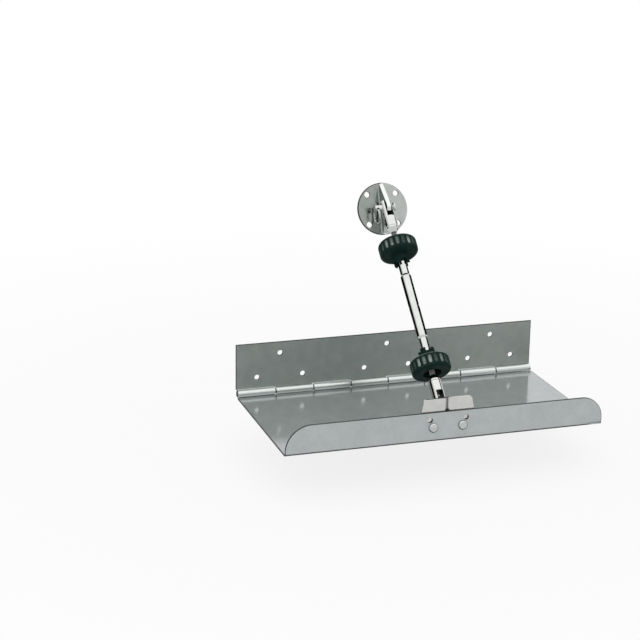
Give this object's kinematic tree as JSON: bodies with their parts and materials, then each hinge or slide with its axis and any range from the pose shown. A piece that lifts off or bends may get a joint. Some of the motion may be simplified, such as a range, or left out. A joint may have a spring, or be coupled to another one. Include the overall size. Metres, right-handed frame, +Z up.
{
  "type": "boat trim tab",
  "caption": "Stainless trim tab: a lipped plate hinged to a transom leaf, held at its angle by a turnbuckle strut with fluted lock knobs and a round base.",
  "frame": {"origin": "on the back face of the transom leaf, at mid-width, between the two lower screw holes of the middle group", "axes": "X along the hinge, +Y into the boat through the transom, +Z up"},
  "size_m": [0.3, 0.1935, 0.1922],
  "materials": {
    "satin_steel": "rolled, half-bright",
    "folded_steel": "tumbled, bright",
    "polished_steel": "polished",
    "brass": "turned",
    "knob_plastic": "moulded, glossy"
  },
  "bodies": {
    "leaf": {"transom_leaf": "satin_steel", "hinge_pin": "satin_steel"},
    "tab": {"trim_plate": "satin_steel", "lower_bracket_left": "folded_steel", "lower_bracket_right": "folded_steel", "bracket_screws": "polished_steel", "bracket_washers": "polished_steel", "bracket_nuts": "polished_steel"},
    "lower_end": {"lower_fork": "polished_steel", "lower_rod": "polished_steel", "lower_clevis_pin": "polished_steel"},
    "lower_ring": {"lower_split_ring": "polished_steel"},
    "tube_carrier": {"lower_tube_plug": "brass"},
    "tube": {"turnbuckle_tube": "polished_steel", "upper_tube_plug": "brass"},
    "lower_insert": {"lower_knob_insert": "brass"},
    "lower_knob": {"lower_lock_knob": "knob_plastic"},
    "upper_end": {"upper_fork": "polished_steel", "upper_rod": "polished_steel", "upper_clevis_pin": "polished_steel"},
    "upper_insert": {"upper_knob_insert": "brass"},
    "upper_knob": {"upper_lock_knob": "knob_plastic"},
    "upper_ring": {"upper_split_ring": "polished_steel"},
    "base": {"upper_base_left": "folded_steel", "upper_base_right": "folded_steel"}
  },
  "joints": [
    {"name": "plate_hinge", "type": "hinge", "parent": "leaf", "child": "tab", "pos_m": [0, -0.004, -0.0142], "axis": [1, 0, 0], "range_deg": [-5, 14]},
    {"name": "lower_pivot", "type": "hinge", "parent": "tab", "child": "lower_end", "pos_m": [0, -0.14306, 0.0098], "axis": [1, 0, 0], "range_deg": [-8.34, 3.04]},
    {"name": "lower_thread_feed", "type": "slide", "parent": "lower_end", "child": "tube_carrier", "axis": [0, 0.7254, 0.6884], "range_m": [-0.00484, 0.01337]},
    {"name": "tube_turn", "type": "hinge", "parent": "tube_carrier", "child": "tube", "pos_m": [0, -0.07023, 0.07891], "axis": [0, 0.7254, 0.6884], "range_deg": [-2137.05, 5974.75]},
    {"name": "upper_thread_feed", "type": "slide", "parent": "tube_carrier", "child": "upper_end", "axis": [0, 0.7254, 0.6884], "range_m": [-0.00484, 0.01337]},
    {"name": "upper_pivot", "type": "hinge", "parent": "upper_end", "child": "base", "pos_m": [0, 0.00854, 0.15367], "axis": [1, 0, 0], "range_deg": [-5.86, 2.16]},
    {"name": "lower_knob_feed", "type": "slide", "parent": "tube_carrier", "child": "lower_insert", "axis": [0, -0.7254, -0.6884], "range_m": [0, 0.00405]},
    {"name": "lower_knob_turn", "type": "hinge", "parent": "lower_insert", "child": "lower_knob", "pos_m": [0, -0.11303, 0.0383], "axis": [0, -0.7254, -0.6884], "range_deg": [0, 1800]},
    {"name": "upper_knob_feed", "type": "slide", "parent": "tube_carrier", "child": "upper_insert", "axis": [0, 0.7254, 0.6884], "range_m": [0, 0.00405]},
    {"name": "upper_knob_turn", "type": "hinge", "parent": "upper_insert", "child": "upper_knob", "pos_m": [0, -0.02744, 0.11952], "axis": [0, -0.7254, -0.6884], "range_deg": [0, 1800]},
    {"name": "lower_ring_swing", "type": "hinge", "parent": "lower_end", "child": "lower_ring", "pos_m": [-0.00965, -0.14306, 0.0098], "axis": [0, 1, 0], "range_deg": [-6, 70]},
    {"name": "upper_ring_swing", "type": "hinge", "parent": "upper_end", "child": "upper_ring", "pos_m": [-0.00965, 0.00854, 0.15367], "axis": [0, 1, 0], "range_deg": [-6, 70]}
  ],
  "couplings": [
    {"joint": "lower_pivot", "follows": "plate_hinge", "ratio": -0.58826},
    {"joint": "lower_thread_feed", "follows": "plate_hinge", "m_per_rad": 0.054292},
    {"joint": "tube_turn", "follows": "plate_hinge", "ratio": 426.41},
    {"joint": "upper_thread_feed", "follows": "plate_hinge", "m_per_rad": 0.054292},
    {"joint": "upper_pivot", "follows": "plate_hinge", "ratio": -0.41174},
    {"joint": "lower_knob_feed", "follows": "lower_knob_turn", "m_per_rad": 0.00012732},
    {"joint": "upper_knob_feed", "follows": "upper_knob_turn", "m_per_rad": 0.00012732}
  ]
}
